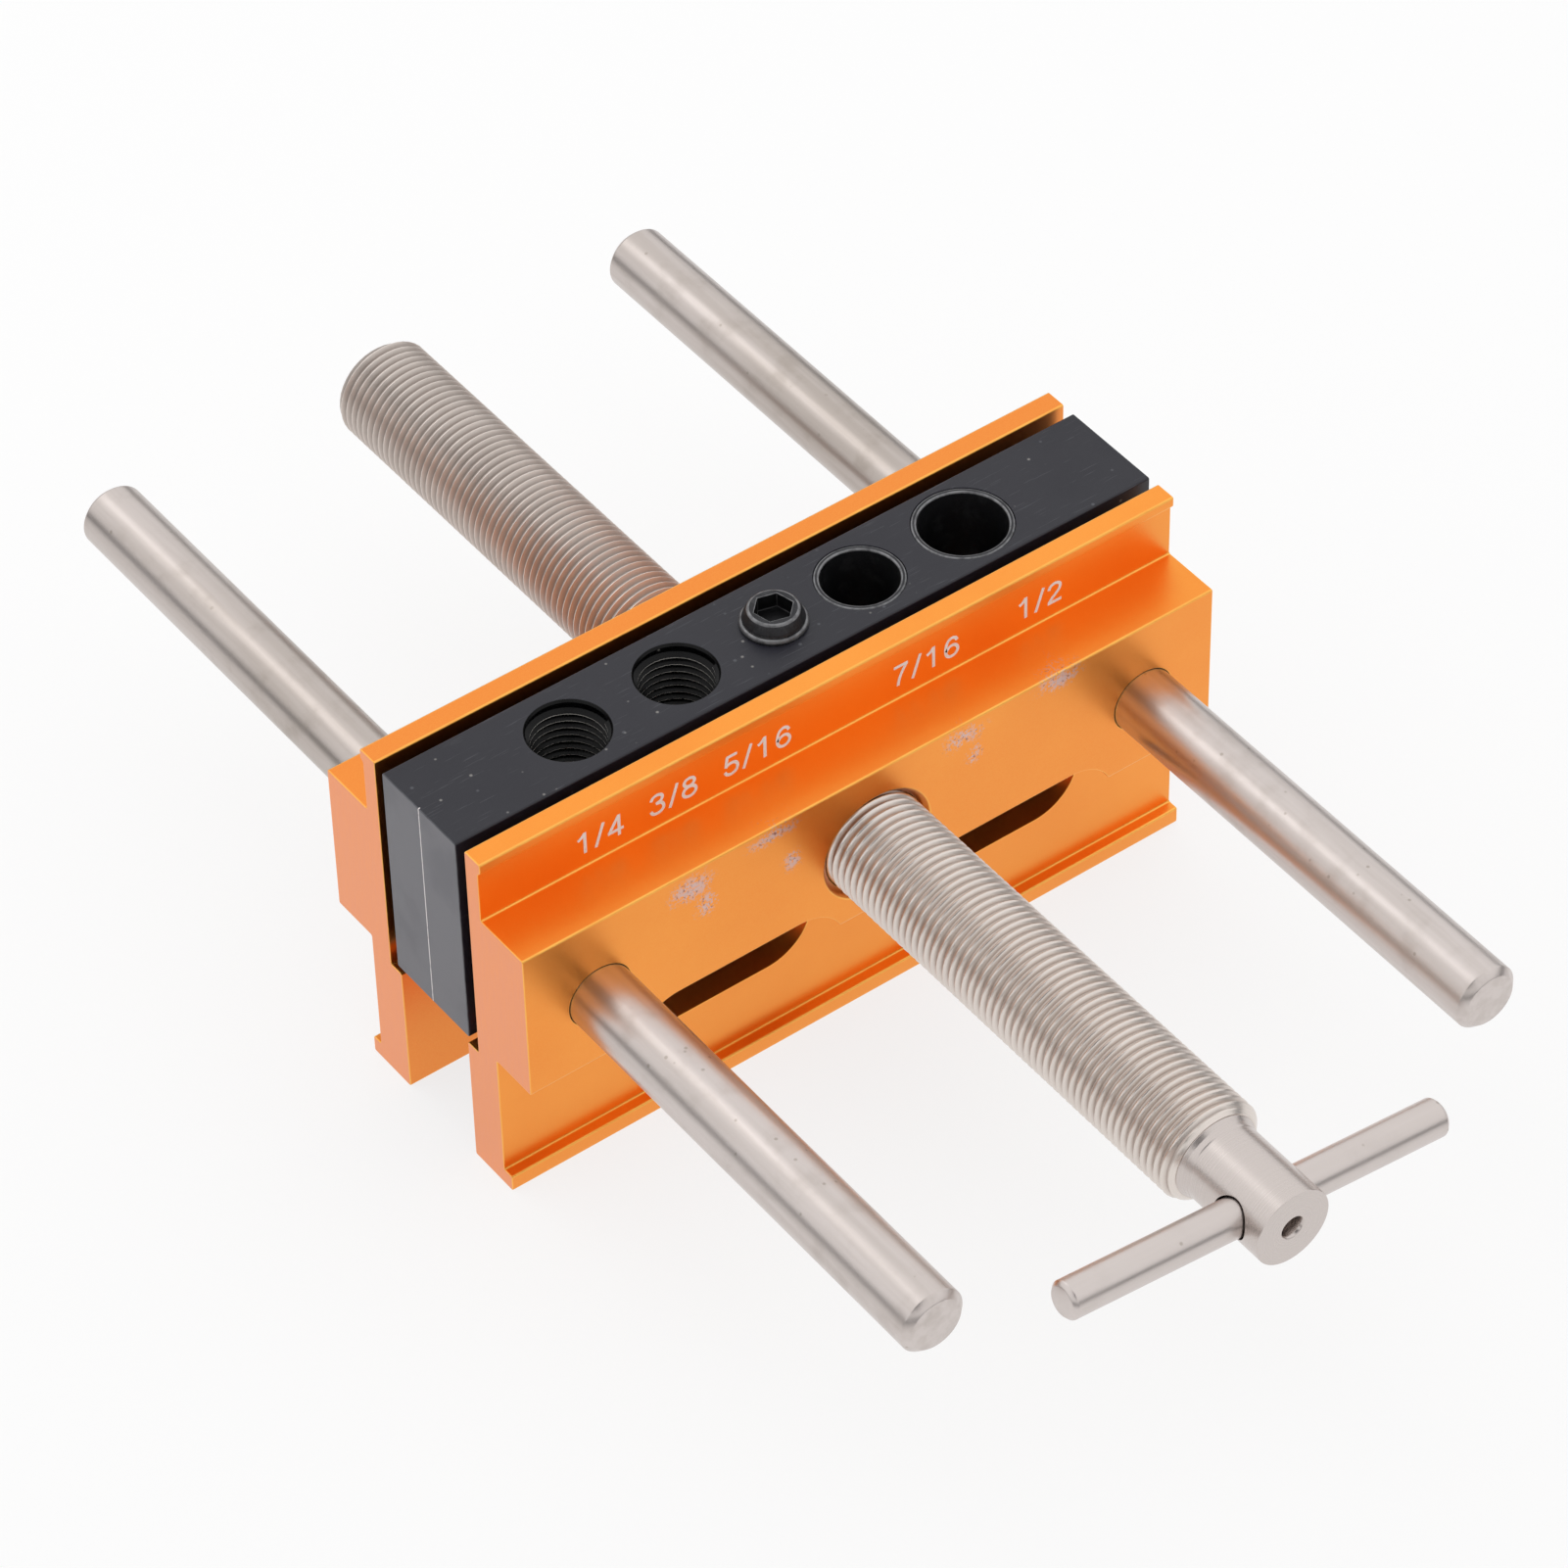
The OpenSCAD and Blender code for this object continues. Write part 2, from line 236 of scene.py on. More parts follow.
def chain_of(bm, points):
    """Points joined by edges, one after the other"""
    verts = [bm.verts.new(point) for point in points]
    return verts, [bm.edges.new(pair) for pair in zip(verts, verts[1:])]


def weld(bm):
    bmesh.ops.remove_doubles(bm, verts=bm.verts, dist=WELD)


def mark_of(elements, name):
    """A number kept with every face or point, which the finish reads by its name"""
    layers = elements.layers.float
    return layers.get(name) or layers.new(name)


def mark_faces(bm, name, test):
    mark = mark_of(bm.faces, name)
    for face in bm.faces:
        face[mark] = test(face)
    return mark


def towards(place, axis):
    """The matrix that moves to a place and turns Z along an axis"""
    return Matrix.Translation(place) @ axis.to_track_quat("Z", "Y").to_matrix().to_4x4()


def reach(point, middle):
    """How far a point lies from an upright axis"""
    return math.hypot(point.x - middle.x, point.y - middle.y)


def is_end(face, side_mm):
    """Whether a face ends a piece along X and is larger than a square with that side"""
    return abs(face.normal.x) > ALONG and face.calc_area() > (side_mm * MM) ** 2


def sharp_edges(bm):
    """The edges where the surface turns a corner"""
    return [e for e in bm.edges if e.is_manifold and e.calc_face_angle() > CORNER_ANGLE]


def break_edges(bm, width, edges=None, segments=2):
    """Breaks the sharp edges by a narrow rounding and marks it as an edge, which the finish
    paints worn and lighter as a painted highlight
    """
    mark = mark_of(bm.faces, "edge")
    broken = bmesh.ops.bevel(
        bm, geom=sharp_edges(bm) if edges is None else edges, offset=width,
        offset_type="OFFSET", segments=segments, profile=0.5, affect="EDGES",
        clamp_overlap=False, material=-1,
    )
    for face in broken["faces"]:
        face[mark] = 1


def make_whole(bm):
    """Joins loose triangles and makes each flat one face"""
    weld(bm)
    bmesh.ops.dissolve_limit(
        bm, angle_limit=FLAT_ANGLE, verts=bm.verts, edges=bm.edges, delimit=set(),
    )


def cad_copy(node):
    """The shape of a CAD node"""
    bm = bmesh.new()
    bm.from_mesh(frame["nodes"][node].data)
    make_whole(bm)
    return bm


def spin_profile(bm, profile, centre, axis, start=Vector((1, 0, 0))):
    """Turns a chain of (distance along the axis, radius) about an axis through centre"""
    out = start.normalized()
    points = [centre + axis * along + out * radius for along, radius in profile]
    verts, edges = chain_of(bm, points)
    bmesh.ops.spin(
        bm, geom=verts + edges, cent=centre, axis=axis, dvec=(0, 0, 0),
        angle=FULL_TURN, steps=TURNED_STEPS, use_merge=True, use_duplicate=False,
    )


def repeat(bm, step, count):
    """Repeats all of a mesh in a row, each time moved on by the same step"""
    first = bm.verts[:] + bm.edges[:] + bm.faces[:]
    for k in range(1, count):
        again = bmesh.ops.duplicate(bm, geom=first)["geom"]
        bmesh.ops.translate(bm, verts=verts_of(again), vec=Vector(step) * k)


def curved(points, between=4):
    """More points along a chain of points, so that it runs as a smooth curve"""
    ends = [points[0] * 2 - points[1], *points, points[-1] * 2 - points[-2]]
    chain = []
    for a, b, c, d in zip(ends, ends[1:], ends[2:], ends[3:]):
        for k in range(between):
            t = k / between
            chain.append(
                (b * 2 + (c - a) * t + (a * 2 - b * 5 + c * 4 - d) * t ** 2
                 + (b * 3 - a - c * 3 + d) * t ** 3) / 2
            )
    return [*chain, points[-1]]


def wall(bm, chain, low, high):
    """A thin wall that follows a chain of (x, z), between two depths along Y"""
    closed = (chain[0] - chain[-1]).length < WELD
    points = [(at.x, low, at.y) for at in (chain[:-1] if closed else chain)]
    verts, edges = chain_of(bm, points)
    if closed:
        edges.append(bm.edges.new((verts[-1], verts[0])))
    grown = bmesh.ops.extrude_edge_only(bm, edges=edges)["geom"]
    bmesh.ops.translate(bm, verts=verts_of(grown), vec=(0, high - low, 0))


def turned(profile, centre, axis=Vector((0, 1, 0)), start=Vector((1, 0, 0)), edge=None):
    """A turned piece: a closed profile, or one that begins and ends on the axis"""
    bm = bmesh.new()
    spin_profile(bm, profile, centre, axis, start)
    weld(bm)
    bmesh.ops.recalc_face_normals(bm, faces=bm.faces)
    if edge:
        break_edges(bm, edge)
    return bm


def shade(bm):
    """Smooth faces, with the corners that are left kept sharp"""
    for face in bm.faces:
        face.smooth = True
    for edge in bm.edges:
        if edge.is_manifold:
            edge.smooth = edge.calc_face_angle() < CORNER_ANGLE


def place(name, bm, body, slot, material, *nodes):
    """Makes a piece of the mesh, on the CAD body it moves with"""
    shade(bm)
    piece = as_object(name, as_mesh(name, bm))
    piece.data.materials.append(material)
    flats = piece.modifiers.new("Flat faces", "WEIGHTED_NORMAL")
    flats.keep_sharp = True
    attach(piece, body)
    if nodes:
        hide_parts(*nodes)
    return piece


# Tools for the materials

def paint(colour):
    """A colour to mix: a socket, a plain colour or the name of one of the jig's colours"""
    known = isinstance(colour, str)
    return tuple(getattr(bpy.context.scene.jig_colours, colour)) if known else colour


class Tree:
    """A node tree written from the top down: each call adds a node and joins its inputs"""

    def __init__(self, tree):
        self.tree = tree
        self.made = 0

    def add(self, kind, inputs=None, **settings):
        node = self.tree.nodes.new(kind)
        node.location = (self.made % 8 * 220, -(self.made // 8) * 320)
        self.made += 1
        for name, value in settings.items():
            setattr(node, name, value)
        for key, value in (inputs or {}).items():
            socket = node.inputs[key]
            if isinstance(value, bpy.types.NodeSocket):
                self.tree.links.new(value, socket)
            elif isinstance(value, tuple) and socket.type == "RGBA":
                socket.default_value = (*value, 1)
            else:
                socket.default_value = value
        return node

    def math(self, operation, first, second=0.0, third=0.0, clamp=False):
        inputs = {0: first, 1: second, 2: third}
        node = self.add("ShaderNodeMath", inputs, operation=operation, use_clamp=clamp)
        return node.outputs[0]

    def mul(self, first, second, clamp=False):
        return self.math("MULTIPLY", first, second, clamp=clamp)

    def mul_add(self, first, second, third, clamp=False):
        return self.math("MULTIPLY_ADD", first, second, third, clamp)

    def vector(self, operation, first, second=(0.0, 0.0, 0.0)):
        node = self.add("ShaderNodeVectorMath", {0: first, 1: second}, operation=operation)
        return node.outputs["Value" if operation == "LENGTH" else "Vector"]

    def split(self, vector):
        return self.add("ShaderNodeSeparateXYZ", {0: vector}).outputs

    def mix(self, factor, first, second):
        """A blend of two colours"""
        inputs = {0: factor, 6: paint(first), 7: paint(second)}
        return self.add("ShaderNodeMix", inputs, data_type="RGBA").outputs[2]

    def blend(self, factor, first, second):
        """A blend of two shader nodes"""
        inputs = {0: factor, 1: first.outputs[0], 2: second.outputs[0]}
        return self.add("ShaderNodeMixShader", inputs)

    def ramp(self, value, low, high, to_low=0.0, to_high=1.0, smooth=True):
        """A value taken from one range to another and held at its ends"""
        kind = "SMOOTHSTEP" if smooth else "LINEAR"
        inputs = {"Value": value, "From Min": low, "From Max": high, "To Min": to_low,
                  "To Max": to_high}
        node = self.add("ShaderNodeMapRange", inputs, interpolation_type=kind)
        return node.outputs["Result"]

    def rotated(self, vector, turn):
        """Coordinates turned about the origin"""
        return self.add("ShaderNodeMapping", {"Vector": vector, "Rotation": turn}).outputs[0]

    def per_mm(self, size):
        """The scale of a texture whose features have a size in millimetres"""
        return 1 / (size * MM) if isinstance(size, float) else self.math("DIVIDE", 1 / MM, size)

    def noise(self, vector, size, detail=2.0, roughness=0.5):
        inputs = {"Vector": vector, "Scale": self.per_mm(size), "Detail": detail,
                  "Roughness": roughness}
        return self.add("ShaderNodeTexNoise", inputs).outputs["Fac"]

    def attribute(self, name):
        return self.add("ShaderNodeAttribute", attribute_name=name).outputs["Fac"]


def node_group(name, gives, wants, build):
    """A shader node group with named inputs and outputs"""
    group = bpy.data.node_groups.new(name, "ShaderNodeTree")
    for label, default in wants.items():
        kind = "NodeSocketVector" if isinstance(default, tuple) else "NodeSocketFloat"
        socket = group.interface.new_socket(label, in_out="INPUT", socket_type=kind)
        socket.default_value = default
    for label in gives:
        group.interface.new_socket(label, in_out="OUTPUT", socket_type="NodeSocketFloat")
    tree = Tree(group)
    into = tree.add("NodeGroupInput").outputs
    tree.add("NodeGroupOutput", build(tree, into))
    return group


def effect(name, *gives, **wants):
    """Makes an effect of a function that fills the tree of a node group. The group is built
    once. A call adds it to a finish, on the object's coordinates, and gives its outputs"""
    wants = {"Vector": (0.0, 0.0, 0.0), **wants}

    def decorate(build):
        def apply(finish, **inputs):
            group = bpy.data.node_groups.get(name) or node_group(name, gives, wants, build)
            inputs = {"Vector": finish.place, **inputs}
            outputs = finish.add("ShaderNodeGroup", inputs, node_tree=group).outputs
            return outputs if len(gives) > 1 else outputs[0]
        return apply
    return decorate


@effect("Grain", "Grain", Size=0.2)
def fine_grain(tree, into):
    """Fine even grain, as of blasted metal"""
    fine = tree.noise(into["Vector"], into["Size"], 3.0, 0.65)
    return {"Grain": tree.ramp(fine, 0.3, 0.7, smooth=False)}


@effect("Clouds", "Mask", Size=8.0, Level=0.5, Softness=0.2)
def soft_clouds(tree, into):
    """Wide soft patches, for dye, stains and oil"""
    wide = tree.noise(into["Vector"], into["Size"], 4.0, 0.55)
    edge = tree.math("ADD", into["Level"], into["Softness"])
    return {"Mask": tree.ramp(wide, into["Level"], edge)}


@effect("Worn edges", "Mask", Size=2.0, Least=0.3, Most=1.0)
def worn_edges(tree, into):
    """The broken edges of a piece, rubbed here and there: a mask for wear and for a painted
    highlight
    """
    rub = tree.noise(into["Vector"], into["Size"], 3.0, 0.6)
    rub = tree.ramp(rub, 0.25, 0.65, into["Least"], into["Most"])
    return {"Mask": tree.mul(tree.attribute("edge"), rub)}


@effect("Drawn lines", "Fine", "Wide", Stretch=(1.0, 0.02, 1.0))
def drawn_lines(tree, into):
    """Fine lines that run along one direction, as left by grinding or drawing"""
    long = tree.vector("MULTIPLY", into["Vector"], into["Stretch"])
    fine = tree.noise(long, 0.25, 2.0, 0.6)
    wide = tree.noise(long, 1.4, 2.0, 0.5)
    return {"Fine": tree.ramp(fine, 0.3, 0.7, smooth=False),
            "Wide": tree.ramp(wide, 0.3, 0.7)}


@effect("Turning marks", "Rings", Centre=(0.0, 0.0, 0.0), Size=0.15)
def turning_marks(tree, into):
    """Rings left by a lathe tool about an axis along Y, on sides and faces alike"""
    split = tree.split(tree.vector("SUBTRACT", into["Vector"], into["Centre"]))
    squares = tree.mul_add(split["Z"], split["Z"], tree.mul(split["X"], split["X"]))
    way = tree.math("ADD", tree.math("SQRT", squares), split["Y"])
    line = tree.add("ShaderNodeCombineXYZ", {"X": way}).outputs[0]
    rings = tree.noise(line, into["Size"], 3.0, 0.6)
    return {"Rings": tree.ramp(rings, 0.3, 0.7, smooth=False)}


@effect("Specks", "Mask", Spacing=1.5, Amount=0.3)
def small_specks(tree, into):
    """Small pits and specks, scattered unevenly"""
    inputs = {"Vector": into["Vector"], "Scale": tree.per_mm(into["Spacing"])}
    cell = tree.add("ShaderNodeTexVoronoi", inputs).outputs
    chance = tree.add("ShaderNodeSeparateColor", {0: cell["Color"]}).outputs[0]
    chosen = tree.math("LESS_THAN", chance, into["Amount"])
    return {"Mask": tree.mul(chosen, tree.ramp(cell["Distance"], 0.06, 0.16, 1.0, 0.0))}


@effect("Scuff", "Mask", Place=(0.0, 0.0, 0.0), Reach=(1.0, 1.0, 1.0))
def scuff_patch(tree, into):
    """One rubbed patch about a place, which fades towards its rim"""
    off = tree.vector("SUBTRACT", into["Vector"], into["Place"])
    far = tree.vector("LENGTH", tree.vector("DIVIDE", off, into["Reach"]))
    return {"Mask": tree.ramp(far, 0.1, 1.1, 1.0, 0.0)}


class Finish(Tree):
    """A material under way, with the object's own coordinates at hand"""

    def __init__(self, name):
        self.material = bpy.data.materials.new(name)
        self.material.use_nodes = True
        self.material.node_tree.nodes.clear()
        super().__init__(self.material.node_tree)
        self.place = self.add("ShaderNodeTexCoord").outputs["Object"]

    def bump(self, height, strength, depth_mm):
        inputs = {"Height": height, "Strength": strength, "Distance": depth_mm * MM}
        return self.add("ShaderNodeBump", inputs).outputs[0]

    def close(self, base, rough, **sockets):
        """Joins the Principled shader and gives the material back"""
        inputs = {label.replace("_", " "): value for label, value in sockets.items()}
        inputs.update({"Base Color": base, "Roughness": rough})
        shader = self.add("ShaderNodeBsdfPrincipled", inputs)
        self.add("ShaderNodeOutputMaterial", {"Surface": shader.outputs[0]})
        return self.material


def once(build):
    """A finish is made the first time that a piece asks for it"""
    def get():
        name = build.__name__.replace("_", " ")
        return bpy.data.materials.get(name) or build(Finish(name))
    return get


# Where the front jaw is rubbed: middle and half width along X and Z, in millimetres
SCUFFS = [
    ((-31.0, 22.8), (6.2, 3.8)), ((-28.6, 18.6), (3.4, 3.8)), ((-17.0, 24.6), (6.4, 2.4)),
    ((-14.2, 18.2), (2.4, 3.2)), ((14.8, 23.8), (5.6, 3.0)), ((16.6, 19.6), (2.4, 3.0)),
    ((31.4, 24.8), (6.2, 2.8)), ((-24.4, 27.2), (2.6, 1.1)),
]
# How far from the boss's face they show, in millimetres, so that the strip stays clean
SCUFF_DEPTH = 6


@once
def orange_anodising(tree):
    grain = fine_grain(tree, Size=0.16)
    dye = soft_clouds(tree, Size=30.0, Level=0.3, Softness=0.4)
    base = tree.mix(tree.mul(dye, 0.55), "orange", "orange_deep")
    split = tree.split(tree.place)
    behind = tree.math("GREATER_THAN", split["Y"], 0.0)
    base = tree.mix(tree.mul(behind, 0.8), base, "orange_rear")
    base = tree.mix(tree.mul(grain, 0.22), base, "orange_edge")
    sawn = tree.attribute("sawn")
    saw_lines = drawn_lines(tree, Stretch=(1, 1, 0.06))["Fine"]
    saw_colour = tree.mix(tree.mul(saw_lines, 0.3), "orange_sawn", "orange")
    base = tree.mix(sawn, base, saw_colour)
    # Painted highlight: the broken edges are made lighter, and rubbed in places
    edge = worn_edges(tree, Size=6.0, Least=0.5, Most=0.85)
    base = tree.mix(edge, base, "orange_edge")
    scuffs = 0.0
    for (x, z), (wide, high) in SCUFFS:
        patch = scuff_patch(tree, Place=(x * MM, BOSS_FACE, z * MM),
                            Reach=(wide * MM, SCUFF_DEPTH * MM, high * MM))
        scuffs = tree.math("MAXIMUM", patch, scuffs)
    clumps = tree.noise(tree.place, 2.4, 2.0, 0.5)
    specks = tree.noise(tree.place, 0.36, 2.0, 0.6)
    torn = tree.mul_add(clumps, 0.55, specks)
    torn = tree.mul_add(scuffs, 0.3, torn)
    rubbed = tree.mul(tree.ramp(torn, 0.93, 1.1), scuffs, clamp=True)
    dirt = tree.noise(tree.place, 0.6, 2.0, 0.6)
    tone = tree.mix(tree.ramp(dirt, 0.54, 0.66), "scuff", "scuff_dark")
    base = tree.mix(tree.mul(rubbed, 0.85), base, tone)
    rough = tree.ramp(grain, 0.0, 1.0, 0.3, 0.38, smooth=False)
    height = tree.mul_add(sawn, saw_lines, grain)
    return tree.close(
        base, rough, Metallic=1.0, Coat_Weight=0.3, Coat_Roughness=0.3,
        Normal=tree.bump(height, 0.28, 0.02),
    )


# The scribed line's half width, where it has faded, and how far into the block it shows, all
# in millimetres
SCRIBED, SCRIBED_EDGE, END_SKIN = 0.04, 0.12, 0.3


@once
def black_anodising(tree):
    grain = fine_grain(tree, Size=0.12)
    lines = drawn_lines(tree, Stretch=(0.04, 1, 1))
    specks = small_specks(tree, Spacing=2.2, Amount=0.22)
    scratch = tree.ramp(lines["Fine"], 0.86, 1.0)
    clouds = soft_clouds(tree, Size=14.0, Level=0.4, Softness=0.3)
    light = tree.mul_add(scratch, 0.16, tree.mul(specks, 0.3))
    light = tree.mul_add(grain, 0.05, light, clamp=True)
    base = tree.mix(light, "black", "black_edge")
    base = tree.mix(tree.attribute("milled"), base, "black_end")
    edge = worn_edges(tree, Size=3.0, Least=0.05, Most=0.4)
    # Painted shade: the walls of the tapped holes are made near black
    base = tree.mix(tree.attribute("bore"), base, "bore")
    base = tree.mix(edge, base, "black_edge")
    dust = small_specks(tree, Spacing=1.9, Amount=0.14)
    fluff = small_specks(tree, Spacing=1.3, Amount=0.5)
    lying = soft_clouds(tree, Size=9.0, Level=0.6, Softness=0.08)
    dust = tree.mul_add(fluff, lying, dust)
    base = tree.mix(tree.mul(dust, 0.4), base, "dust")
    # A line scribed down the middle of the left end, to set the jig on a mark
    split = tree.split(tree.place)
    on_end = tree.math("LESS_THAN", split["X"], BLOCK_LOW.x + END_SKIN * MM)
    beside = tree.math("ABSOLUTE", split["Y"])
    line = tree.ramp(beside, SCRIBED * MM, SCRIBED_EDGE * MM, 1.0, 0.0)
    worn = tree.noise(tree.place, 1.5, 3.0, 0.6)
    line = tree.mul(line, tree.ramp(worn, 0.25, 0.5, 0.45, 0.95))
    line = tree.mul(line, on_end)
    base = tree.mix(line, base, "ink")
    rough = tree.ramp(clouds, 0.0, 1.0, 0.36, 0.46)
    rough = tree.mul_add(tree.attribute("bore"), -0.12, rough)
    height = tree.mul_add(scratch, -0.6, grain)
    return tree.close(base, rough, Metallic=0.0, IOR=1.45, Normal=tree.bump(height, 0.2, 0.012))


@once
def threaded_black(tree):
    """The walls of the tapped holes, near black as painted shade, with a painted glint on their
    crests
    """
    grain = fine_grain(tree, Size=0.12)
    crest = worn_edges(tree, Size=1.5, Least=0.7, Most=1.0)
    # Painted glint on the crests, over painted shade in the rest of the hole
    base = tree.mix(crest, "bore", "dust")
    rough = tree.mul_add(grain, 0.1, 0.22)
    return tree.close(base, rough, Metallic=0.0, IOR=1.26, Normal=tree.bump(grain, 0.15, 0.01))


def steel(tree, stretch, turn=(0.0, 0.0, 0.0), dirt=1.0):
    """Bare ground steel whose grinding lines run along one direction"""
    along = tree.rotated(tree.place, turn)
    lines = drawn_lines(tree, Vector=along, Stretch=stretch)
    stain = soft_clouds(tree, Size=5.0, Level=0.5, Softness=0.25)
    specks = small_specks(tree, Spacing=2.2, Amount=0.3)
    tint = tree.mul_add(lines["Wide"], 0.32, tree.mul(stain, 0.22))
    tint = tree.mul_add(tint, dirt, tree.mul(specks, 0.8))
    # Painted shade: behind the block the rods are darkened, less so towards their ends
    split = tree.split(tree.place)
    rear_shade = tree.ramp(split["Y"], 5 * MM, 40 * MM, 0.0, 0.5)
    rear_shade = tree.mul(rear_shade, tree.ramp(split["Y"], 50 * MM, 90 * MM, 1.0, 0.3))
    tint = tree.math("ADD", tint, rear_shade, clamp=True)
    base = tree.mix(tint, "steel", "steel_stain")
    grain = fine_grain(tree, Size=0.14)
    rough = tree.mul_add(grain, 0.08, 0.28)
    rough = tree.mul_add(stain, 0.06, rough)
    height = tree.mul_add(specks, -2.0, grain)
    return tree.close(base, rough, Metallic=1.0, Normal=tree.bump(height, 0.18, 0.01))


@once
def rod_steel(tree):
    return steel(tree, (1, 0.05, 1))


@once
def tommy_bar_steel(tree):
    slide = Vector(joint("tommy_bar_slide")["axis"])
    return steel(tree, (0.05, 1, 1), (0.0, -math.atan2(-slide.z, slide.x), 0.0), 0.3)


@once
def screw_steel(tree):
    centre = (0, 0, AXIS_HEIGHT)
    rings = turning_marks(tree, Centre=centre, Size=0.12)
    oil = soft_clouds(tree, Size=9.0, Level=0.35, Softness=0.4)
    depth = tree.attribute("depth")
    threaded = tree.attribute("threaded")
    base = tree.mix(threaded, "steel", "thread")
    base = tree.mix(tree.mul(rings, 0.35), base, "steel_stain")
    # The rear half is darker, browner and less metallic: painted reflection of the orange jaw and
    # of the dark side towards the camera
    split = tree.split(tree.place)
    rear = tree.ramp(split["Y"], -5 * MM, 5 * MM)
    oil_and_shade = tree.mul_add(oil, 0.14, tree.mul(rear, 0.08))
    steep = tree.mul_add(rear, -1.4, 2.0)
    # Deeper in the roots the steel darkens more: oil and painted shade
    oil_and_shade = tree.mul_add(tree.math("POWER", depth, steep), 0.95, oil_and_shade)
    oil_and_shade = tree.mul(oil_and_shade, threaded, clamp=True)
    base = tree.mix(oil_and_shade, base, tree.mix(rear, "root", "rear_root"))
    rough = tree.mul_add(rings, 0.1, 0.24)
    rough = tree.mul_add(oil_and_shade, 0.15, rough)
    metal = tree.mul_add(tree.mul(rear, threaded), -0.3, 1.0)
    return tree.close(base, rough, Metallic=metal, Normal=tree.bump(rings, 0.16, 0.01))


@once
def blackened_steel(tree):
    grain = fine_grain(tree, Size=0.18)
    rub = soft_clouds(tree, Size=2.5, Level=0.5, Softness=0.25)
    edge = worn_edges(tree, Size=1.2, Least=0.25, Most=0.8)
    light = tree.mul_add(rub, 0.12, tree.mul(grain, 0.08))
    light = tree.math("MAXIMUM", light, edge)
    base = tree.mix(light, "dark_steel", "rubbed_steel")
    # Painted shade: the screw's socket is made near black
    inside = tree.mul(tree.attribute("bore"), 0.6)
    base = tree.mix(inside, base, "bore")
    rough = tree.mul_add(grain, 0.12, 0.3)
    return tree.close(base, rough, Metallic=0.75, Normal=tree.bump(grain, 0.15, 0.01))


@once
def white_ink(tree):
    worn = fine_grain(tree, Size=0.3)
    base = tree.mix(tree.mul(worn, 0.06), "ink", "orange_edge")
    rough = tree.ramp(worn, 0.0, 1.0, 0.45, 0.6)
    return tree.close(base, rough, Metallic=0.0, Normal=tree.bump(worn, 0.2, 0.01))


@once
def studio_floor(tree):
    """Pale and even, and clear from below, so that the underside can be looked at"""
    patches = soft_clouds(tree, Size=400.0, Level=0.3, Softness=0.5)
    base = tree.mix(tree.mul(patches, 0.05), "floor", seen(240, 240, 240))
    shader = tree.add("ShaderNodeBsdfPrincipled", {"Base Color": base, "Roughness": 0.9})
    white = tree.add("ShaderNodeEmission", {"Color": (1.0, 1.0, 1.0)})
    path = tree.add("ShaderNodeLightPath").outputs
    direct = tree.math("ADD", path["Is Camera Ray"], path["Is Glossy Ray"])
    direct = tree.math("ADD", direct, path["Is Transmission Ray"], clamp=True)
    lift = tree.mul(direct, bpy.context.scene.jig_studio.lift)
    shader = tree.blend(lift, shader, white)
    clear = tree.add("ShaderNodeBsdfTransparent")
    behind = tree.add("ShaderNodeNewGeometry").outputs["Backfacing"]
    both = tree.blend(behind, shader, clear)
    tree.add("ShaderNodeOutputMaterial", {"Surface": both.outputs[0]})
    return tree.material


@once
def dark_card(tree):
    """The matt cards that stand out of the picture"""
    patches = soft_clouds(tree, Size=200.0, Level=0.3, Softness=0.5)
    base = tree.mix(tree.mul(patches, 0.3), "card", seen(20, 20, 20))
    return tree.close(base, 0.95)


def joint(name):
    """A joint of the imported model"""
    return next(j for j in frame["joints"] if j["name"] == name)


# The pieces

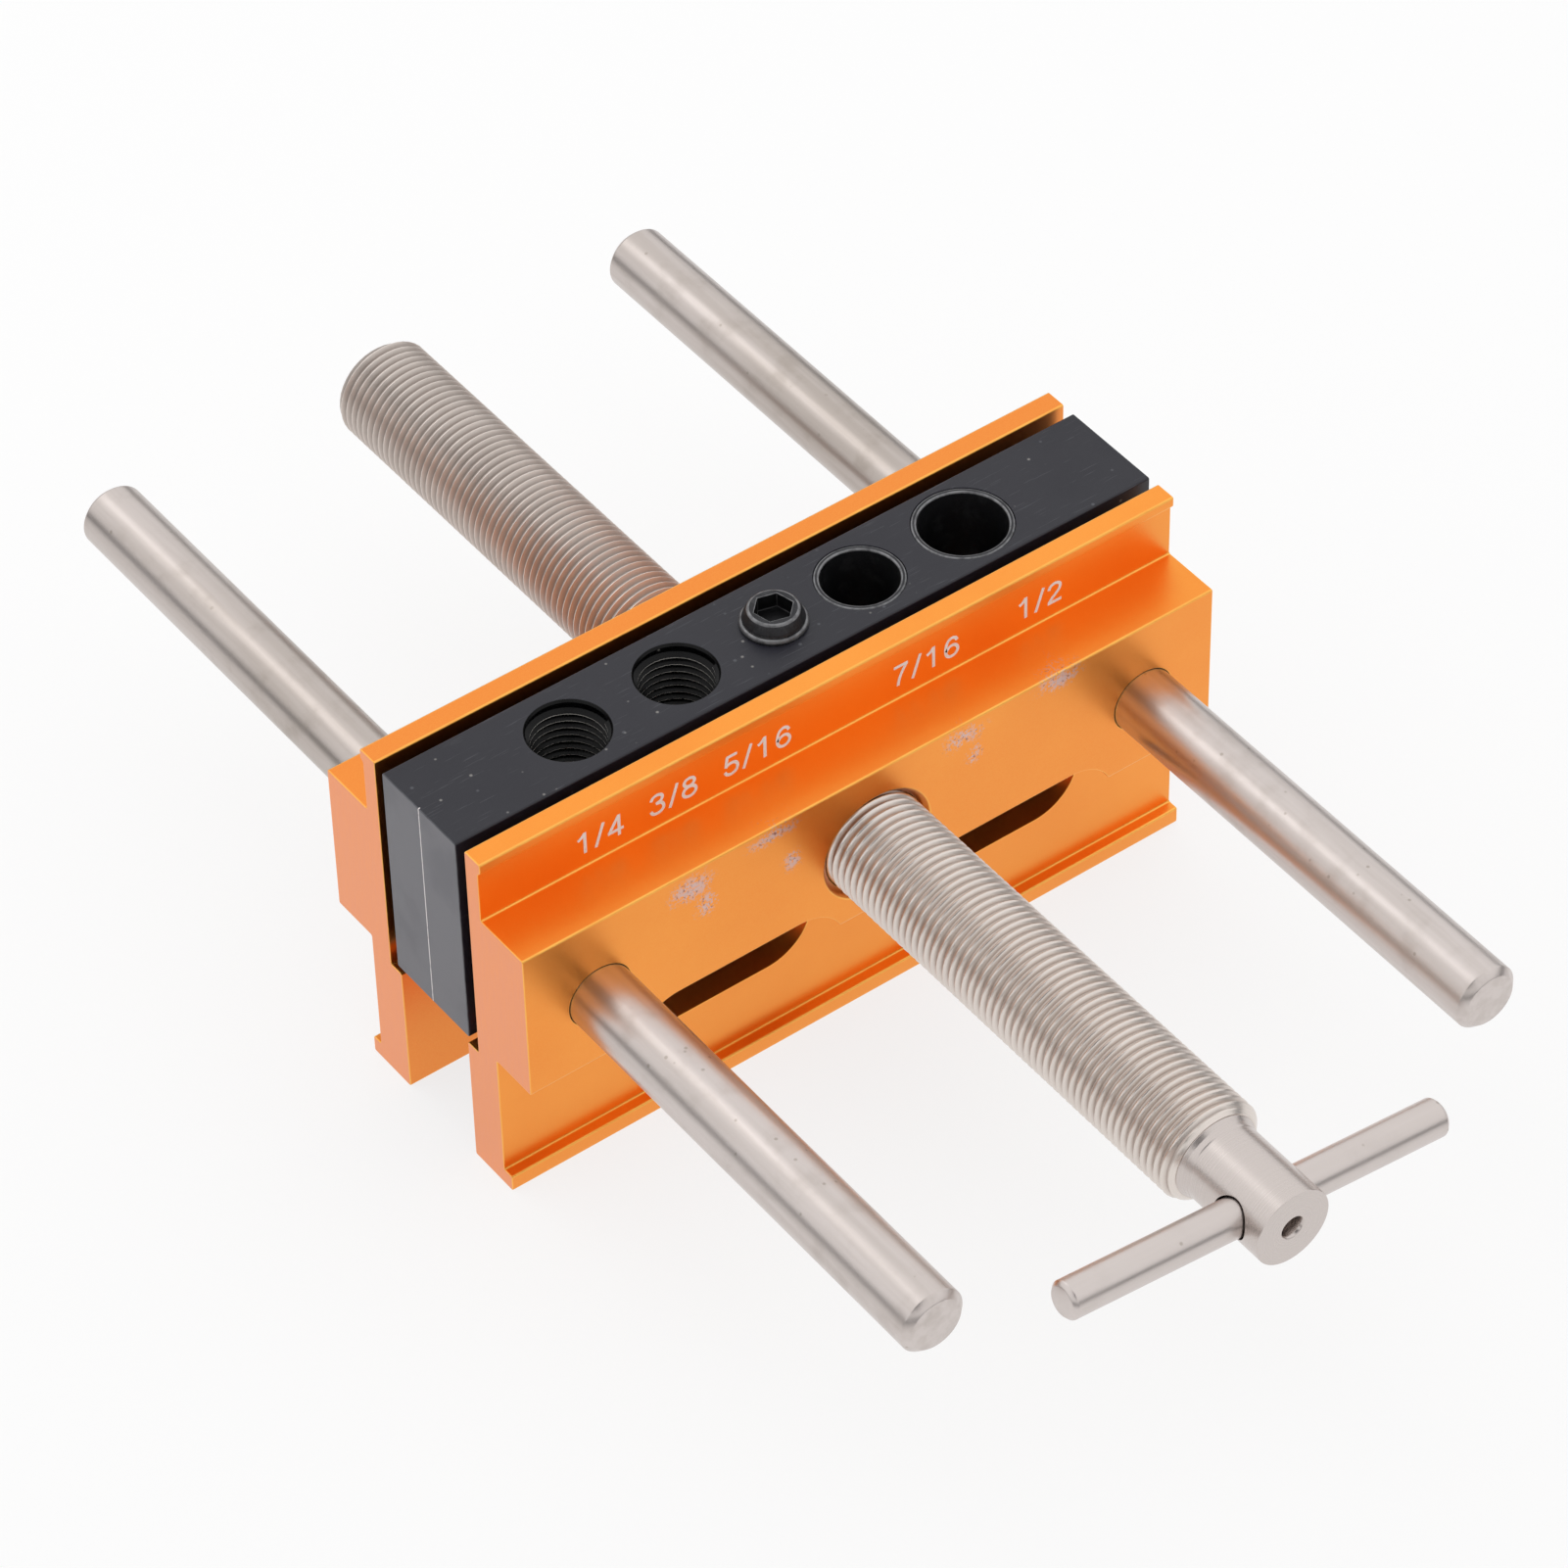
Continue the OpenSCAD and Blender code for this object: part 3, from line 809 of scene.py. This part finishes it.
class JIG_OT_studio(bpy.types.Operator):
    """Set up the camera, the soft lamp, the dark cards and the pale floor"""

    bl_idname = "jig.studio"
    bl_label = "Studio"

    # What the camera looks at, and where the lamp stands, in millimetres
    TARGET = (-4.41, -7.554, 14.579)
    KEY_PLACE, KEY_SIZE = (-139, 383, 521), 280
    # The camera's sensor in millimetres, and how near and far it sees in metres
    SENSOR, NEAR, FAR = 36, 0.01, 50
    FLOOR_SIZE, FLOOR_CELLS = 12000, 8
    # The card before the camera, and the low ring of card round the jig
    CARD_DISTANCE, CARD_RADIUS = 760, 250
    RING_RADIUS, RING_HEIGHT = 520, 110
    CARD_STEPS, RING_STEPS = 48, 96

    def camera(self, studio):
        lens = bpy.data.cameras.new("camera")
        lens.lens, lens.sensor_width = studio.lens, self.SENSOR
        lens.clip_start, lens.clip_end = self.NEAR, self.FAR
        camera = as_object("camera", lens)
        across = math.cos(studio.elevation)
        cos, sin = math.cos(studio.azimuth), math.sin(studio.azimuth)
        back = Vector((sin * across, -cos * across, math.sin(studio.elevation)))
        right = Vector((cos, sin, 0))
        up = back.cross(right)
        tilt = Matrix.Rotation(studio.roll, 3, back)
        turn = Matrix((tilt @ right, tilt @ up, back)).transposed()
        eye = Vector(self.TARGET) * MM + back * studio.distance
        camera.matrix_world = Matrix.Translation(eye) @ turn.to_4x4()
        bpy.context.scene.camera = camera
        return back

    def lamp(self, power):
        light = bpy.data.lights.new("key_lamp", "AREA")
        light.shape, light.size, light.energy = "DISK", self.KEY_SIZE * MM, power
        lamp = as_object("key_lamp", light)
        lamp.location = Vector(self.KEY_PLACE) * MM
        lamp.rotation_euler = lamp.location.to_track_quat("Z", "Y").to_euler()

    def stage(self, name, bm, material):
        staged = as_object(name, as_mesh(name, bm))
        staged.data.materials.append(material)
        return staged

    def cards(self, back):
        """Dark cards, which the camera doesn't see but the metal reflects"""
        bm = bmesh.new()
        bmesh.ops.create_circle(
            bm, cap_ends=True, segments=self.CARD_STEPS, radius=self.CARD_RADIUS * MM,
            matrix=towards(back * self.CARD_DISTANCE * MM, back),
        )
        ring = bmesh.ops.create_circle(
            bm, segments=self.RING_STEPS, radius=self.RING_RADIUS * MM,
            matrix=Matrix.Translation((0, 0, CAD_BOX[0].z)),
        )["verts"]
        edges = {edge for vert in ring for edge in vert.link_edges}
        grown = bmesh.ops.extrude_edge_only(bm, edges=list(edges))["geom"]
        bmesh.ops.translate(bm, verts=verts_of(grown), vec=(0, 0, self.RING_HEIGHT * MM))
        cards = self.stage("dark_cards", bm, dark_card())
        cards.visible_camera = False

    def execute(self, context):
        studio = context.scene.jig_studio
        self.cards(self.camera(studio))
        self.lamp(studio.key)
        bm = bmesh.new()
        bmesh.ops.create_grid(
            bm, x_segments=self.FLOOR_CELLS, y_segments=self.FLOOR_CELLS,
            size=self.FLOOR_SIZE / 2 * MM, matrix=Matrix.Translation((0, 0, CAD_BOX[0].z)),
        )
        self.stage("floor", bm, studio_floor())
        world = bpy.data.worlds.new("studio")
        context.scene.world = world
        world.use_nodes = True
        sky = world.node_tree.nodes["Background"].inputs
        sky["Color"].default_value = (1, 1, 1, 1)
        sky["Strength"].default_value = studio.sky
        context.scene.view_settings.view_transform = "Standard"
        return {"FINISHED"}


class JIG_OT_jaws(bpy.types.Operator):
    """Finish the two jaws: eased edges, sawn ends and anodising"""

    bl_idname = "jig.jaws"
    bl_label = "Jaws"

    # The sawn ends are larger than a square with this side, in millimetres
    END = 5
    # A face that runs level along the jaw but slopes across it is a broken edge too
    LEVEL, SLOPE = 0.05, 0.1

    def jaw(self, node, body, width):
        bm = cad_copy(node)
        sawn = mark_faces(bm, "sawn", lambda face: is_end(face, self.END))
        break_edges(bm, width)
        mark = mark_of(bm.faces, "edge")
        for face in bm.faces:
            n = face.normal
            if abs(n.x) < self.LEVEL and min(abs(n.y), abs(n.z)) > self.SLOPE:
                face[mark] = 1
            if face[mark]:
                face[sawn] = 0
        place(node + "_finished", bm, body, "orange_anodised", orange_anodising(), node)

    def execute(self, context):
        width = context.scene.jig_sizes.edge_break
        self.jaw("front_jaw", "front_clamp", width)
        self.jaw("rear_jaw", "rear_clamp", width)
        return {"FINISHED"}


class JIG_OT_drill_sizes(bpy.types.Operator):
    """Print the drill sizes on the front jaw's strip"""

    bl_idname = "jig.drill_sizes"
    bl_label = "Drill sizes"

    # Each drill size and where it begins along the jaw, and the foot of all of them
    SIZES = {"1/4": -42.9, "3/8": -30.8, "5/16": -18.6, "7/16": 9.9, "1/2": 31.1}
    FOOT = 28.5
    STRIP_FACE = -13.3
    # How deep the ink reaches into the strip, in millimetres, and by what share of its
    # thickness each stroke of a character lies over the one before it
    SINK, STEP = 0.05, 0.1
    # The room that a character takes, for a height of 1
    DIGIT_ROOM, SLASH_ROOM = 0.777, 0.388
    # The middle lines of the strokes: points across,up in hundredths of the height
    STROKES = {
        "/": ["2,-1 37,101"],
        "1": ["16,72 31,80 45,95", "46,0 46,100"],
        "2": ["12,70 17,84 28,92 40,94 54,90 63,80 63,68 56,54 42,40 25,25 12,8", "7,6 70,6"],
        "3": ["12,74 20,88 37,94 55,88 61,75 53,60 32,54",
              "36,54 56,49 65,33 62,17 50,8 36,6 19,11 10,26"],
        "4": ["50,94 9,30", "4,29 71,29", "52,0 52,100"],
        "5": ["18,93 65,93", "22,96 15,46",
              "14,47 26,56 41,59 57,54 65,41 65,26 56,12 38,6 20,11 10,26"],
        "6": ["63,73 56,87 41,94 25,88 15,72 11,48 13,27 22,12 38,6 55,11 65,25 64,40 "
              "55,53 40,58 24,52 13,38"],
        "7": ["8,93 70,93", "66,92 50,70 37,45 29,20 26,0"],
        "8": ["38,93.5 22,88 15.5,74.5 22,61 38,55.5 54,61 60.5,74.5 54,88 38,93.5",
              "38,53 18,46 10,29.5 18,13 38,6 58,13 66,29.5 58,46 38,53"],
    }

    def execute(self, context):
        sizes = context.scene.jig_sizes
        face = self.STRIP_FACE * MM
        bm = bmesh.new()
        for words, x in self.SIZES.items():
            corner = Vector((x, self.FOOT)) * MM
            for character in words:
                for k, stroke in enumerate(self.STROKES[character]):
                    chain = [Vector([float(c) / 100 for c in point.split(",")])
                             for point in stroke.split()]
                    chain = curved(chain) if len(chain) > 2 else chain
                    over = sizes.ink_thickness * (1 + self.STEP * k)
                    wall(
                        bm, [corner + point * sizes.letter_height for point in chain],
                        face + self.SINK * MM, face - over,
                    )
                room = self.SLASH_ROOM if character == "/" else self.DIGIT_ROOM
                corner.x += room * sizes.letter_height + sizes.letter_gap
        numbers = place("drill_size_numbers", bm, "front_clamp", "orange_anodised", white_ink())
        for face in numbers.data.polygons:
            face.use_smooth = False
        numbers.modifiers.clear()
        width = numbers.modifiers.new("Stroke width", "SOLIDIFY")
        width.thickness, width.offset = sizes.stroke_width, 0
        width.use_even_offset = True
        return {"FINISHED"}


class JIG_OT_guide_block(bpy.types.Operator):
    """Finish the guide block and cut the threads of its two tapped holes"""

    bl_idname = "jig.guide_block"
    bl_label = "Guide block"

    # All in millimetres. Middles of the tapped holes along the block, and their radius
    HOLES = {"tapped_thread_near": -16.3, "tapped_thread_far": -34.1}
    RADIUS = 6
    # The thread starts this far under the block's top, and takes this share of a pitch to rise
    MOUTH, RUN_OUT = 0.45, 0.4
    # How far the thread's back stands in the wall, and half its width there and at its crest,
    # in pitches
    SINK, BACK, CREST = 0.05, 0.46, 0.05
    # The cone of the mouth: up from the block's top, and out from the hole's wall
    CONE = [(-0.05, 0.05), (-0.05, -0.03), (-0.4, -0.25), (-0.55, 0.05), (-0.05, 0.05)]
    # The milled ends are larger than a square with this side
    END = 8
    # A hole's wall leans less than this, as a share of its normal, and lies this near the hole
    LEAN, WALL = 0.1, 0.1

    def thread(self, name, x, sizes):
        """A ridge inside the hole: its back stands in the wall, its crest points inwards"""
        pitch, radius = sizes.socket_pitch, self.RADIUS * MM
        back, crest = radius + self.SINK * MM, radius - sizes.socket_deep
        top = BLOCK_HIGH.z - self.MOUTH * MM
        turns = (sizes.socket_length - self.MOUTH * MM) / pitch - 1
        bottom = top - (turns + 0.5) * pitch
        bm = bmesh.new()
        outline = [(back, -self.BACK), (crest, -self.CREST), (crest, self.CREST),
                   (back, self.BACK)]
        verts = [bm.verts.new((x * MM + r, 0, bottom + pitch * z)) for r, z in outline]
        first = bm.faces.new(verts)
        steps = round(turns * THREAD_STEPS)
        bmesh.ops.spin(
            bm, geom=[first], cent=(x * MM, 0, 0), axis=(0, 0, 1),
            dvec=(0, 0, turns * pitch / steps), angle=turns * FULL_TURN, steps=steps,
            use_merge=False, use_duplicate=False,
        )
        # The crest runs out into the wall at the upper end
        for v in bm.verts:
            off = Vector((v.co.x - x * MM, v.co.y, 0))
            left = (top - v.co.z) / (self.RUN_OUT * pitch)
            if off.length < radius - WELD and left < 1:
                out = back + (off.length - back) * max(0.0, left)
                v.co.x = x * MM + off.x / off.length * out
                v.co.y = off.y / off.length * out
        middle = Vector((x * MM, 0, BLOCK_HIGH.z))
        # The crests are marked for the painted glint that the finish gives them
        mark_faces(bm, "edge", lambda face: all(
            reach(v.co, middle) < crest + CLOSE for v in face.verts))
        cone = [(up * MM, radius + out * MM) for up, out in self.CONE]
        spin_profile(bm, cone, middle, UP)
        weld(bm)
        bmesh.ops.recalc_face_normals(bm, faces=bm.faces)
        place(name, bm, "guide_block", "black_anodised", threaded_black())

    def in_hole(self, face):
        """Whether a face is part of a tapped hole's wall"""
        middle, wall = face.calc_center_median(), (self.RADIUS + self.WALL) * MM
        holes = [Vector((x * MM, 0, 0)) for x in self.HOLES.values()]
        upright = abs(face.normal.z) < self.LEAN
        return upright and any(reach(middle, hole) < wall for hole in holes)

    def execute(self, context):
        sizes = context.scene.jig_sizes
        bm = cad_copy("centre_block")
        milled = mark_faces(bm, "milled", lambda face: is_end(face, self.END))
        mark_faces(bm, "bore", self.in_hole)
        break_edges(bm, sizes.edge_break)
        mark = mark_of(bm.faces, "edge")
        for face in bm.faces:
            # The mouths of the bores, a millimetre and more from the rim, get neither the wear
            # nor the painted highlight of the broken edges
            middle = face.calc_center_median()
            if abs(middle.y) < BLOCK_HIGH.y - MM and abs(middle.x) < BLOCK_HIGH.x - MM:
                face[mark] = 0
            if face[mark]:
                face[milled] = 0
        place("guide_block_finished", bm, "guide_block", "black_anodised",
              black_anodising(), "centre_block")
        for name, x in self.HOLES.items():
            self.thread(name, x, sizes)
        return {"FINISHED"}


class JIG_OT_lead_screw(bpy.types.Operator):
    """Cut the lead screw, left handed in front and right handed behind, and its shank"""

    bl_idname = "jig.lead_screw"
    bl_label = "Lead screw"

    AXIS = Vector((0, 0, AXIS_HEIGHT))
    # All lengths in millimetres
    SHANK_RADIUS = 6
    CROSS_HOLE_RADIUS, CROSS_HOLE_INSET = 3.05, 5.7
    # The mouths of the cross hole lie farther than this from its middle, and their rims are
    # broken by this many fine breaks
    MOUTHS_FROM, MOUTH_BREAK = 1.5, 1.3
    # The lathe centre in the shank's end: along the axis, and the radius
    CENTRE = [(5, 0), (4.2, 1.5), (0.5, 1.6), (0, 1.85)]
    # The shoulder before the thread: along the axis from there, and out from the shank
    SHOULDER = [(-1.6, 0), (-1.5, 0.09), (-0.6, 0.12), (-0.05, 0.6), (0.4, 0.6)]
    # The core that shows in the groove: its half length, and its depth under the crests
    CORE, GROOVE_DEPTH = 3, 1.6

    # One pitch of the thread, from the middle of a root to the middle of the next: along the
    # axis in pitches, and up from the root in depths. The front half is rounded by use
    WORN_THREAD = [(0, 0), (0.1, 0), (0.28, 0.6), (0.41, 0.93), (0.5, 1), (0.59, 0.93),
                   (0.72, 0.6), (0.9, 0), (1, 0)]
    SHARP_THREAD = [(0, 0), (0.05, 0), (0.46, 1), (0.54, 1), (0.95, 0), (1, 0)]

    def half(self, bm, start, end, hand, lead, thread, sizes):
        """One threaded half, from start to end along Y, closed at both ends"""
        pitch, crest = sizes.pitch, SCREW_RADIUS
        root = crest - sizes.thread_deep
        part = bmesh.new()
        first = math.floor((start - lead) / pitch - 1) * pitch + lead
        turns = math.ceil((end - start) / pitch) + 3
        verts, edges = chain_of(part, [
            (root + up * (crest - root), first + pitch * along, AXIS_HEIGHT)
            for along, up in thread
        ])
        bmesh.ops.spin(
            part, geom=verts + edges, cent=self.AXIS, axis=(0, 1, 0),
            dvec=(0, pitch / THREAD_STEPS, 0), angle=hand * FULL_TURN, steps=THREAD_STEPS,
            use_merge=False, use_duplicate=False,
        )
        repeat(part, (0, pitch, 0), turns)
        weld(part)
        for y, side in ((start, -1), (end, 1)):
            bmesh.ops.bisect_plane(
                part, geom=part.verts[:] + part.edges[:] + part.faces[:], dist=WELD,
                plane_co=(0, y, 0), plane_no=(0, side, 0), clear_outer=True,
            )
        depth, threaded = mark_of(part.verts, "depth"), mark_of(part.verts, "threaded")
        chamfer = sizes.thread_chamfer
        for v in part.verts:
            off = Vector((v.co.x, 0, v.co.z - AXIS_HEIGHT))
            near_end = min(v.co.y - start, end - v.co.y)
            out = min(off.length, crest - max(0.0, chamfer - near_end))
            # The chamfer is bare metal, without the oil and the painted shade that the roots get
            if out > off.length - WELD and near_end > chamfer / 2:
                v[depth] = min(1.0, max(0.0, (crest - out) / (crest - root)))
            v.co += off * (out / off.length - 1)
            v[threaded] = 1
        bmesh.ops.holes_fill(part, edges=part.edges, sides=0)
        bmesh.ops.recalc_face_normals(part, faces=part.faces)
        join(bm, part)

    def shank(self, sizes):
        """The plain shank with its lathe centre, shoulder and cross hole"""
        r = self.SHANK_RADIUS * MM
        centre = [(along * MM, radius * MM) for along, radius in self.CENTRE]
        shoulder = [(sizes.shank_length + along * MM, r + out * MM)
                    for along, out in self.SHOULDER]
        profile = [*centre, (0, r), *shoulder, (shoulder[-1][0], 0)]
        front = Vector((0, SCREW_LOW.y, AXIS_HEIGHT))
        shank = as_object("shank_blank", as_mesh("shank_blank", turned(profile, front)))
        slide = Vector(joint("tommy_bar_slide")["axis"]).normalized()
        middle = front + Vector((0, self.CROSS_HOLE_INSET * MM, 0))
        bore = self.CROSS_HOLE_RADIUS * MM
        drill = bmesh.new()
        bmesh.ops.create_cone(
            drill, cap_ends=True, segments=TURNED_STEPS // 2,
            radius1=bore, radius2=bore, depth=4 * r, matrix=towards(middle, slide),
        )
        cutter = as_object("drill", as_mesh("drill", drill))
        cut = shank.modifiers.new("Cross hole", "BOOLEAN")
        cut.object, cut.operation, cut.solver = cutter, "DIFFERENCE", "EXACT"
        bpy.context.view_layer.update()
        drilled = bmesh.new()
        drilled.from_object(shank, bpy.context.evaluated_depsgraph_get())
        for made in (shank, cutter):
            bpy.data.objects.remove(made)
        make_whole(drilled)

        def at_mouth(vert):
            off = vert.co - middle
            along = off.dot(slide)
            beside = (off - slide * along).length
            return abs(along) > self.MOUTHS_FROM * MM and beside < bore + BESIDE

        def mouths():
            return [e for e in sharp_edges(drilled) if all(map(at_mouth, e.verts))]

        # Short pieces of the rim would fold over when it is broken
        rim = {v for e in mouths() for v in e.verts}
        bmesh.ops.remove_doubles(
            drilled, verts=sorted(rim, key=lambda v: v.index), dist=sizes.fine_break,
        )
        rim = set(mouths())
        others = [e for e in sharp_edges(drilled) if e not in rim]
        break_edges(drilled, sizes.fine_break, others)
        break_edges(drilled, self.MOUTH_BREAK * sizes.fine_break, mouths())
        return drilled

    def execute(self, context):
        sizes = context.scene.jig_sizes
        bm = self.shank(sizes)
        for name in ("depth", "threaded"):
            mark_of(bm.verts, name)
        front = SCREW_LOW.y + sizes.shank_length
        half_groove = sizes.groove_width / 2
        self.half(bm, front, -half_groove, -1, sizes.front_lead, self.WORN_THREAD, sizes)
        self.half(bm, half_groove, SCREW_HIGH.y, 1, sizes.rear_lead, self.SHARP_THREAD, sizes)
        end, radius = self.CORE * MM, SCREW_RADIUS - self.GROOVE_DEPTH * MM
        join(bm, turned([(-end, 0), (-end, radius), (end, radius), (end, 0)], self.AXIS))
        place("lead_screw_threaded", bm, "screw", "screw_steel", screw_steel(), "lead_screw")
        return {"FINISHED"}


class JIG_OT_rods(bpy.types.Operator):
    """Turn the two guide rods and the tommy bar"""

    bl_idname = "jig.rods"
    bl_label = "Guide rods and tommy bar"

    # In millimetres
    ROD_CHAMFER = 1
    BAR_CHAMFER, BAR_RADIUS, BAR_LENGTH = 0.6, 2.8, 63.2

    def bar(self, middle, axis, half_length, radius, chamfer, edge):
        profile = [
            (-half_length, 0), (-half_length, radius - chamfer),
            (chamfer - half_length, radius), (half_length - chamfer, radius),
            (half_length, radius - chamfer), (half_length, 0),
        ]
        return turned(profile, middle, axis, axis.orthogonal(), edge)

    def execute(self, context):
        edge = context.scene.jig_sizes.fine_break
        for node in ("guide_rod_left", "guide_rod_right"):
            low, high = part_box(node)
            bm = self.bar(
                (low + high) / 2, Vector((0, 1, 0)), (high.y - low.y) / 2,
                (high.x - low.x) / 2, self.ROD_CHAMFER * MM, edge,
            )
            place(node + "_ground", bm, "guide_block", "ground_steel", rod_steel(), node)
        low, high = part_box("tommy_bar")
        bm = self.bar(
            (low + high) / 2, Vector(joint("tommy_bar_slide")["axis"]).normalized(),
            self.BAR_LENGTH / 2 * MM, self.BAR_RADIUS * MM, self.BAR_CHAMFER * MM, edge,
        )
        place("tommy_bar_ground", bm, "handle", "ground_steel", tommy_bar_steel(), "tommy_bar")
        return {"FINISHED"}


class JIG_OT_bushings(bpy.types.Operator):
    """Turn the two pressed in drill bushings"""

    bl_idname = "jig.bushings"
    bl_label = "Drill bushings"

    # Thickness of their walls, in millimetres
    WALL = 0.9

    def execute(self, context):
        edge = context.scene.jig_sizes.rounding
        for node in ("bushing_large", "bushing_small"):
            low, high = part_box(node)
            outer = (high.x - low.x) / 2
            inner = outer - self.WALL * MM
            tall = high.z - low.z
            middle = Vector(((low.x + high.x) / 2, (low.y + high.y) / 2, low.z))
            profile = [(0, inner), (0, outer), (tall, outer), (tall, inner), (0, inner)]
            bm = turned(profile, middle, UP)
            break_edges(bm, edge, segments=3)
            place(node + "_turned", bm, "guide_block", "blackened_steel", blackened_steel(),
                  node)
        return {"FINISHED"}


class JIG_OT_screws(bpy.types.Operator):
    """Finish the retaining screw, its washer and the rods' locking screws"""

    bl_idname = "jig.screws"
    bl_label = "Screws and washer"

    # Rims farther out than this are rounded. Faces nearer in than this, and farther under
    # the head's top, are in the socket. In millimetres
    OUTER = 3.2
    SOCKET, UNDER = 3, 0.2

    def in_socket(self, face, node):
        """Whether a face is one of the retaining screw's socket"""
        low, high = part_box(node)
        middle = (low + high) / 2
        near = all(reach(v.co, middle) < self.SOCKET * MM for v in face.verts)
        under = face.calc_center_median().z < high.z - self.UNDER * MM
        return node == "retaining_screw" and near and under

    def execute(self, context):
        sizes = context.scene.jig_sizes
        for node in ("retaining_screw", "retaining_washer", "rod_locking_screws"):
            bm = cad_copy(node)
            if node != "rod_locking_screws":
                low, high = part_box(node)
                middle = (low + high) / 2
                outer = [
                    e for e in sharp_edges(bm)
                    if all(v.co.z > BLOCK_HIGH.z and reach(v.co, middle) > self.OUTER * MM
                           for v in e.verts)
                ]
                break_edges(bm, sizes.rounding, outer, segments=3)
            mark_faces(bm, "bore", lambda face: self.in_socket(face, node))
            break_edges(bm, sizes.fine_break)
            place(node + "_finished", bm, "guide_block", "blackened_steel",
                  blackened_steel(), node)
        return {"FINISHED"}


OPERATORS = (
    JIG_OT_studio, JIG_OT_jaws, JIG_OT_drill_sizes, JIG_OT_guide_block, JIG_OT_lead_screw,
    JIG_OT_rods, JIG_OT_bushings, JIG_OT_screws,
)


class JIG_PT_sidebar(bpy.types.Panel):
    """The jig's settings and the steps that build it"""

    bl_label = "Dowelling jig"
    bl_space_type = "VIEW_3D"
    bl_region_type = "UI"
    bl_category = "Jig"

    def draw(self, context):
        for group in (context.scene.jig_sizes, context.scene.jig_colours,
                      context.scene.jig_studio):
            box = self.layout.box()
            for name in group.__annotations__:
                box.prop(group, name)
        for operator in OPERATORS:
            self.layout.operator(operator.bl_idname)


GROUPS = {"jig_sizes": JigSizes, "jig_colours": JigColours, "jig_studio": JigStudio}
CLASSES = (*GROUPS.values(), *OPERATORS, JIG_PT_sidebar)


def register():
    for cls in CLASSES:
        bpy.utils.register_class(cls)
    for name, group in GROUPS.items():
        setattr(bpy.types.Scene, name, bpy.props.PointerProperty(type=group))


def unregister():
    for name in GROUPS:
        delattr(bpy.types.Scene, name)
    for cls in reversed(CLASSES):
        bpy.utils.unregister_class(cls)


def main():
    register()
    for operator in OPERATORS:
        area, name = operator.bl_idname.split(".")
        getattr(getattr(bpy.ops, area), name)()
    bpy.context.view_layer.update()


if __name__ == "__main__":
    main()
